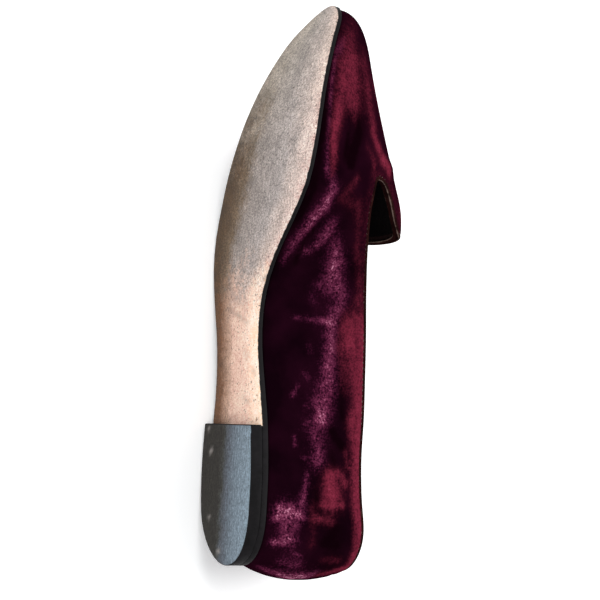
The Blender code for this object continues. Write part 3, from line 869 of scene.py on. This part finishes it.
# %% Cut the sole
EDGE_BEVEL = 0.25    # the modifier's clamp against overlaps stops it at about 0.17
CUT = 1.5            # width of the net's meshes
SOLE_ENDS = (0.0, SHOE_LENGTH)
SOLE_SIDES = (-26.0, 60.0)


def sliced(made, axis, low, high):
    """Cut an object in edit mode every few millimetres along one axis of the shoe."""
    normal = turn @ Vector([float(i == axis) for i in range(3)])
    for place in np.arange(low + CUT, high, CUT):
        bpy.ops.mesh.select_all(action="SELECT")
        at = to_world @ Vector([float(place) if i == axis else 0.0 for i in range(3)])
        bpy.ops.mesh.bisect(plane_co=at, plane_no=normal)


def trimmed(node, name, bevel, ends, sides):
    """Copy of a flat solid with clean faces, rounded edges and a net of cuts."""
    made = copy_of(node, name)
    bpy.ops.mesh.dissolve_limited(angle_limit=math.radians(0.2))
    bpy.ops.object.mode_set(mode="OBJECT")
    modify(made, "BEVEL", width=bevel * MM, segments=2, limit_method="ANGLE",
           angle_limit=math.radians(40))
    only(made)
    bpy.ops.object.mode_set(mode="EDIT")
    sliced(made, 0, *ends)
    sliced(made, 1, *sides)
    bpy.ops.object.mode_set(mode="OBJECT")
    return made


sole = trimmed("outsole", "leather_sole", EDGE_BEVEL, SOLE_ENDS, SOLE_SIDES)
print("leather_sole has", len(sole.data.vertices), "points")

# %% [markdown]
# The underside and its rounded edge are bare leather, and the upright edge is painted, so faces are
# sorted by the way they look. The wear follows the foot and the painted shade runs across the sole, so
# every point then stores how far across it is, how far along, and how far in from the edge.

# %% Where each point of the sole is
LEATHER, PAINT = 0, 1
FACES_DOWN = -0.3
FACES_ASIDE = 0.5
HEEL_BREAST = 65.0
RIM_DEPTH = 12.0     # distance from the edge at which the stored number is 1

normals = [to_shoe_turn @ face.normal for face in sole.data.polygons]
for face, normal in zip(sole.data.polygons, normals):
    behind_breast = (to_shoe @ face.center).x < HEEL_BREAST
    face.material_index = LEATHER if normal.z < FACES_DOWN and not behind_breast else PAINT

places = shoe_places(sole)
sides = {}
for side in (INNER_SIDE, OUTER_SIDE):
    corners = {i for face, normal in zip(sole.data.polygons, normals) if normal.y * side > FACES_ASIDE
               for i in face.vertices}
    rim = places[sorted(corners)]
    rim = rim[np.argsort(rim[:, 0])]
    sides[side] = np.interp(places[:, 0], rim[:, 0], rim[:, 1])
across = (places[:, 1] - sides[OUTER_SIDE]) / (sides[INNER_SIDE] - sides[OUTER_SIDE])
walls = [face.vertices[:] for face, normal in zip(sole.data.polygons, normals)
         if abs(normal.z) < -FACES_DOWN]
wall_tree = BVHTree.FromPolygons([Vector(p) for p in places], walls)
from_rim = np.array([wall_tree.find_nearest(Vector(p))[3] for p in places])
set_colours(sole, "worn", (across, places[:, 0] / SHOE_LENGTH, from_rim / RIM_DEPTH))
print("farthest point from the sole's edge:", from_rim.max().round(1), "mm")

# %% [markdown]
# A few marks have a place of their own: a bruise across the waist, a smudge of edge paint, and
# dark rubs on the outer side. They are drawn on the sole as the creases were on the flank, with
# x and y for each knot.

# %% Marks on the sole
SOLE_MARKS = (
    ((119.5, -9, 1.1, 0.6), (116, -0.5, 1.3, 0.9), (112, 8, 1.1, 0.5)),
    ((130.5, 22, 1.2, 0.8), (131.5, 23.5, 1.2, 0.9)),
    ((216, 1.5, 1.2, 0.8), (215.5, 2, 1.2, 0.8)),
    ((95, -16, 2.4, 0.7), (91, -13, 2.0, 0.5)),
    ((90.5, 12, 1.2, 0.6), (89, 14, 1.2, 0.6)),
    ((99, 5, 2.0, 0.35), (97, 7, 2.0, 0.35)),
    ((125, -6, 3.0, 0.35), (121, 4, 3.0, 0.3)),
    ((78, 4, 1.2, 0.4), (76, 9, 1.2, 0.5)),
    ((70, -2, 1.6, 0.4), (69, -8, 1.6, 0.4)),
)


def on_sole(x, y):
    """Place on the sole seen from below."""
    return np.array((x, y))


marked = sum(stroke(places[:, :2], knots, on_sole) for knots in SOLE_MARKS)
set_colours(sole, "marks", (marked,))
print("marks on the sole:", len(SOLE_MARKS))

# %% [markdown]
# Sole leather is vegetable tanned, smooth and pinkish tan. Walking grinds grit into it: the ball goes
# grey and is scratched across, and the waist, which never meets the floor, keeps its colour and only
# gathers specks. Three ramps across the sole give the colours at the waist, the ball and the toe, and
# the place along the sole blends them. Each ramp runs darker to olive at the outer edge, partly dirt
# and partly painted shade where the sole turns from the lamps, and paler at the inner edge, partly
# painted light. Noise moves the borders, so that they run ragged. A painted picture could do this too,
# but ramps stay sharp at any size.

# %% Worn sole leather: colours
STAIN = 11.0         # width of the stains that move the borders, in millimetres
RAGGED = 2.2

hide, hide_shader, place = start_material("worn_sole_leather", 0.62, Specular_IOR_Level=0.25)
stored = add(hide, "Attribute", attribute_name="worn")
worn = add(hide, "SeparateColor", {"Color": stored.outputs["Color"]})
stain = add(hide, "TexNoise", {"Vector": place, "Scale": 1 / STAIN, "Detail": 5.0, "Roughness": 0.65})
ragged = add(hide, "TexNoise", {"Vector": place, "Scale": 1 / RAGGED, "Detail": 4.0, "Roughness": 0.7})
wander = add(hide, "Math", {0: stain.outputs["Fac"], 1: 0.2, 2: -0.2}, operation="MULTIPLY_ADD")
wobble = add(hide, "Math", {0: ragged.outputs["Fac"], 1: 0.2, 2: wander.outputs[0]},
             operation="MULTIPLY_ADD")
sideways = add(hide, "Math", {0: worn.outputs[0], 1: wobble.outputs[0]}, operation="ADD")
forward = add(hide, "Math", {0: worn.outputs[1], 1: wobble.outputs[0]}, operation="ADD")
# ramps across the sole: the dark low stops at the outer edge are dirt with painted shade, the pale top
# stops at the inner edge are painted light
waist = add(hide, "ValToRGB", {"Fac": sideways.outputs[0]}, stops=(
    (0.0, "#523720"), (0.13, "#6a452c"), (0.28, "#a58470"), (0.42, "#d2ae9c"), (0.7, "#dfbeac"),
    (0.86, "#f0cfb8"), (1.0, "#f3d6be")))
ball = add(hide, "ValToRGB", {"Fac": sideways.outputs[0]}, stops=(
    (0.0, "#42301b"), (0.12, "#4a3622"), (0.25, "#64523f"), (0.36, "#857b75"), (0.68, "#978e8a"),
    (0.84, "#b0a098"), (1.0, "#d2bab0")))
toe = add(hide, "ValToRGB", {"Fac": sideways.outputs[0]}, stops=(
    (0.0, "#7c7266"), (0.25, "#90867b"), (0.55, "#857c75"), (0.8, "#a4968e"), (1.0, "#c2aea2")))
to_ball = add(hide, "MapRange", {"Value": forward.outputs[0], "From Min": 0.43, "From Max": 0.57},
              interpolation_type="SMOOTHSTEP")
to_toe = add(hide, "MapRange", {"Value": forward.outputs[0], "From Min": 0.68, "From Max": 0.95},
             interpolation_type="SMOOTHSTEP")
front = add(hide, "Mix", {FACTOR: to_toe.outputs["Result"], FIRST: ball.outputs["Color"],
                          SECOND: toe.outputs["Color"]}, data_type="RGBA")
walked = add(hide, "Mix", {FACTOR: to_ball.outputs["Result"], FIRST: waist.outputs["Color"],
                           SECOND: front.outputs[MIXED]}, data_type="RGBA")
print("worn_sole_leather has", len(hide.node_tree.nodes), "nodes so far")

# %% [markdown]
# Three noises then work over those colours: soft clouds, grit that is drawn out across the sole
# by the foot's turning, and scratches that run slantwise. They are laid on with overlay, a blend
# that lightens and darkens by turns and keeps the mean, and they are weaker at the waist. Specks
# of dirt sit in the pores.

# %% Worn sole leather: grit, scratches, specks and paint
CLOUD = 9.0
GRIT_LENGTH, GRIT_WIDTH = 1.2, 0.8
SCRATCH_WIDTH, SCRATCH_LENGTH = 0.9, 6.0
SCRATCH_ANGLE = math.radians(32)
SPECK = 1.3

cloud = add(hide, "TexNoise", {"Vector": place, "Scale": 1 / CLOUD, "Detail": 3.0, "Roughness": 0.6})
ground = add(hide, "Mapping", {"Vector": place, "Scale": (1 / GRIT_WIDTH, 1 / GRIT_LENGTH, 1.0)})
grit = add(hide, "TexNoise", {"Vector": ground.outputs["Vector"], "Scale": 1.0, "Detail": 4.0,
                              "Roughness": 0.8})
lines = add(hide, "Mapping", {"Vector": place, "Rotation": (0, 0, SCRATCH_ANGLE),
                              "Scale": (1 / SCRATCH_LENGTH, 1 / SCRATCH_WIDTH, 1.0)})
scratch = add(hide, "TexNoise", {"Vector": lines.outputs["Vector"], "Scale": 1.0, "Detail": 3.0,
                                 "Roughness": 0.7})
speck = add(hide, "TexNoise", {"Vector": place, "Scale": 1 / SPECK, "Detail": 2.0, "Roughness": 0.6})
colour = walked.outputs[MIXED]
for noise, at_waist, at_ball in ((cloud, 0.2, 0.3), (grit, 0.6, 1.0), (scratch, 0.2, 0.25)):
    spread = add(hide, "MapRange", {"Value": noise.outputs["Fac"], "From Min": 0.25,
                                    "From Max": 0.75})
    share = add(hide, "MapRange", {"Value": to_ball.outputs["Result"], "To Min": at_waist,
                                   "To Max": at_ball})
    colour = add(hide, "Mix", {FACTOR: share.outputs["Result"], FIRST: colour,
                               SECOND: spread.outputs["Result"]},
                 data_type="RGBA", blend_type="OVERLAY").outputs[MIXED]
stored = add(hide, "Attribute", attribute_name="marks")
mark = add(hide, "SeparateColor", {"Color": stored.outputs["Color"]})
dirty = add(hide, "MapRange", {"Value": speck.outputs["Fac"], "From Min": 0.62, "From Max": 0.7,
                               "To Max": 0.8})
smudge = add(hide, "Math", {0: grit.outputs["Fac"], 1: mark.outputs["Red"]}, operation="MULTIPLY")
dirt = add(hide, "Math", {0: dirty.outputs["Result"], 1: smudge.outputs[0]}, operation="MAXIMUM")
colour = add(hide, "Mix", {FACTOR: dirt.outputs[0], FIRST: colour, SECOND: linear("#4a3a33")},
             data_type="RGBA").outputs[MIXED]
border = add(hide, "Math", {0: ragged.outputs["Fac"], 1: -1.0 / RIM_DEPTH, 2: worn.outputs[2]},
             operation="MULTIPLY_ADD")
painted = add(hide, "MapRange", {"Value": border.outputs[0], "From Min": -0.35 / RIM_DEPTH,
                                 "From Max": -0.15 / RIM_DEPTH, "To Min": 1.0, "To Max": 0.0})
colour = add(hide, "Mix", {FACTOR: painted.outputs["Result"], FIRST: colour,
                           SECOND: linear("#171415")}, data_type="RGBA").outputs[MIXED]
wire(hide, colour, hide_shader.inputs["Base Color"])
both = add(hide, "Math", {0: scratch.outputs["Fac"], 1: 0.5, 2: grit.outputs["Fac"]},
           operation="MULTIPLY_ADD")
relief = add(hide, "Bump", {"Height": both.outputs[0], "Strength": 0.4, "Distance": 0.3 * MM})
wire(hide, relief.outputs["Normal"], hide_shader.inputs["Normal"])
print("worn_sole_leather has", len(hide.node_tree.nodes), "nodes")

# %% [markdown]
# The edge is trimmed and painted black. Paint on leather is a thin film that is glossy when new.
# Wear dulls it, so it has little shine left here, and noise scuffs it grey in places. Paint could
# be a thin solid of its own, but it has no thickness to see, so it is a second material.

# %% Black edge paint
SCUFF = 6.0
paint, paint_shader, place = start_material("black_edge_paint", 0.6, Specular_IOR_Level=0.06)
scuff = add(paint, "TexNoise", {"Vector": place, "Scale": 1 / SCUFF, "Detail": 6.0, "Roughness": 0.7})
film = add(paint, "ValToRGB", {"Fac": scuff.outputs["Fac"]},
           stops=((0.4, "#131213"), (0.65, "#1b191b"), (0.82, "#2d2928")))
wire(paint, film.outputs["Color"], paint_shader.inputs["Base Color"])
dull = add(paint, "MapRange", {"Value": scuff.outputs["Fac"], "To Min": 0.5, "To Max": 0.75})
wire(paint, dull.outputs["Result"], paint_shader.inputs["Roughness"])
ripple = add(paint, "Bump", {"Height": scuff.outputs["Fac"], "Strength": 0.2, "Distance": 0.3 * MM})
wire(paint, ripple.outputs["Normal"], paint_shader.inputs["Normal"])
smooth(sole, 35)
wear(sole, "outsole", "sole_leather", hide, paint)

# %% [markdown]
# ## Heel
#
# The heel is one low block with a rubber top piece. Its sides are trimmed and painted together
# with the sole's edge. It could be joined to the sole, but it is a piece of its own, so the copy
# is flared until its top lies flush with that edge, and its upper bevel is pushed up into the
# sole, where it does not show.

# %% Heel block
HEEL_BEVEL = 0.4
HEEL_FLARE = 0.45
HEEL_PUSH = 1.5 * HEEL_BEVEL
HEEL_ENDS = (0.0, 68.0)
HEEL_SIDES = (-26.0, 26.0)
TREAD_FACES_DOWN = -0.95
RUBBER = 0
HEEL_NICKS = (
    ((53.5, -15.5, 1.0, 0.9), (54.5, -14.5, 1.0, 0.9)),
    ((64.5, -18.8, 0.9, 0.7), (64, -18.2, 0.9, 0.7)),
    ((24, -13, 0.9, 0.6), (23.5, -12.2, 0.9, 0.6)),
    ((8.5, -3, 0.9, 0.8), (9.5, -1.5, 0.9, 0.8)),
)

heel = trimmed("heel", "heel_block", HEEL_BEVEL, HEEL_ENDS, HEEL_SIDES)
places = shoe_places(heel)
top = places[:, 2].max()
facing = np.array([to_shoe_turn @ vertex.normal for vertex in heel.data.vertices])
places[:, :2] += facing[:, :2] * HEEL_FLARE * np.clip(places[:, 2:] / top, 0, 1)
places[:, 2] += np.where(places[:, 2] > top - HEEL_PUSH, HEEL_PUSH, 0)
move_to(heel, places)
for face in heel.data.polygons:
    flat = (to_shoe_turn @ face.normal).z < TREAD_FACES_DOWN
    face.material_index = RUBBER if flat else PAINT
nicked = sum(stroke(places[:, :2], knots, on_sole) for knots in HEEL_NICKS)
set_colours(heel, "marks", (nicked,))
print("heel_block has", len(heel.data.vertices), "points")

# %% [markdown]
# The top piece is moulded rubber. Walking wears its inner part to a blue-grey bloom, and the outer part
# is olive black, a colour that is partly painted shade. A mask could split the two, but the bloom comes
# on slowly, so a ramp across the heel gives it and noise makes its border wander.
# Crumbs and drag marks roughen it, and the pale nicks are read from the points.

# %% Worn heel rubber
BLOOM, BLOOM_WANDER = 8.0, 9.0
BLOOM_EDGE = (-4.5, 29.0)   # where across the heel the ramp starts and ends
CRUMB = 1.0
DRAG_LENGTH, DRAG_WIDTH = 3.0, 1.2

rubber, rubber_shader, place = start_material("worn_heel_rubber", 0.75, Specular_IOR_Level=0.2)
apart = add(rubber, "SeparateXYZ", {"Vector": place})
bloom = add(rubber, "TexNoise", {"Vector": place, "Scale": 1 / BLOOM, "Detail": 5.0, "Roughness": 0.7})
drawn = add(rubber, "Mapping", {"Vector": place, "Scale": (1 / DRAG_LENGTH, 1 / DRAG_WIDTH, 1.0)})
drag = add(rubber, "TexNoise", {"Vector": drawn.outputs["Vector"], "Scale": 1.0, "Detail": 3.0})
crumb = add(rubber, "TexNoise", {"Vector": place, "Scale": 1 / CRUMB, "Detail": 3.0, "Roughness": 0.75})
shifted = add(rubber, "Math", {0: bloom.outputs["Fac"], 1: BLOOM_WANDER, 2: apart.outputs["Y"]},
              operation="MULTIPLY_ADD")
tread = add(rubber, "MapRange", {"Value": shifted.outputs[0], "From Min": BLOOM_EDGE[0],
                                 "From Max": BLOOM_EDGE[1]})
# the dark low stops, on the outer part, are olive black rubber with painted shade
colour = add(rubber, "ValToRGB", {"Fac": tread.outputs["Result"]}, stops=(
    (0.08, "#282521"), (0.16, "#33322f"), (0.3, "#4d525a"), (0.55, "#65717b"),
    (1.0, "#75848f"))).outputs["Color"]
for noise, share in ((crumb, 0.55), (drag, 0.4)):
    spread = add(rubber, "MapRange", {"Value": noise.outputs["Fac"], "From Min": 0.25,
                                      "From Max": 0.75})
    colour = add(rubber, "Mix", {FACTOR: share, FIRST: colour, SECOND: spread.outputs["Result"]},
                 data_type="RGBA", blend_type="OVERLAY").outputs[MIXED]
stored = add(rubber, "Attribute", attribute_name="marks")
nick = add(rubber, "SeparateColor", {"Color": stored.outputs["Color"]})
colour = add(rubber, "Mix", {FACTOR: nick.outputs["Red"], FIRST: colour,
                             SECOND: linear("#8d8682")}, data_type="RGBA").outputs[MIXED]
wire(rubber, colour, rubber_shader.inputs["Base Color"])
pitted = add(rubber, "Bump", {"Height": crumb.outputs["Fac"], "Strength": 0.35,
                              "Distance": 0.25 * MM})
wire(rubber, pitted.outputs["Normal"], rubber_shader.inputs["Normal"])
smooth(heel, 35)
wear(heel, "heel", "heel_rubber", rubber, paint)

# %% [markdown]
# ## Sock
#
# Inside, a thin sock of smooth black leather covers the whole sole. It shows only through the
# collar, so a trimmed copy of its solid, with crumples and pores in its material, is enough.

# %% Sock leather
SOCK_BEVEL = 0.5
CRUMPLE = 10.0
PORE = 0.9

sock = trimmed("insole", "sock_lining", SOCK_BEVEL, SOLE_ENDS, SOLE_SIDES)
kid, kid_shader, place = start_material("black_sock_leather", 0.5)
crumple = add(kid, "TexNoise", {"Vector": place, "Scale": 1 / CRUMPLE, "Detail": 6.0, "Roughness": 0.6})
pore = add(kid, "TexVoronoi", {"Vector": place, "Scale": 1 / PORE})
dyed = add(kid, "ValToRGB", {"Fac": crumple.outputs["Fac"]},
           stops=((0.3, "#161314"), (0.7, "#2a2526")))
wire(kid, dyed.outputs["Color"], kid_shader.inputs["Base Color"])
skin = add(kid, "Bump", {"Height": pore.outputs["Distance"], "Strength": 0.3, "Distance": 0.2 * MM})
wire(kid, skin.outputs["Normal"], kid_shader.inputs["Normal"])
smooth(sock, 35)
wear(sock, "insole", "sock_leather", kid)

# %% [markdown]
# ## Finish
#
# The last cell brings the scene up to date.

# %% Finish
bpy.context.view_layer.update()
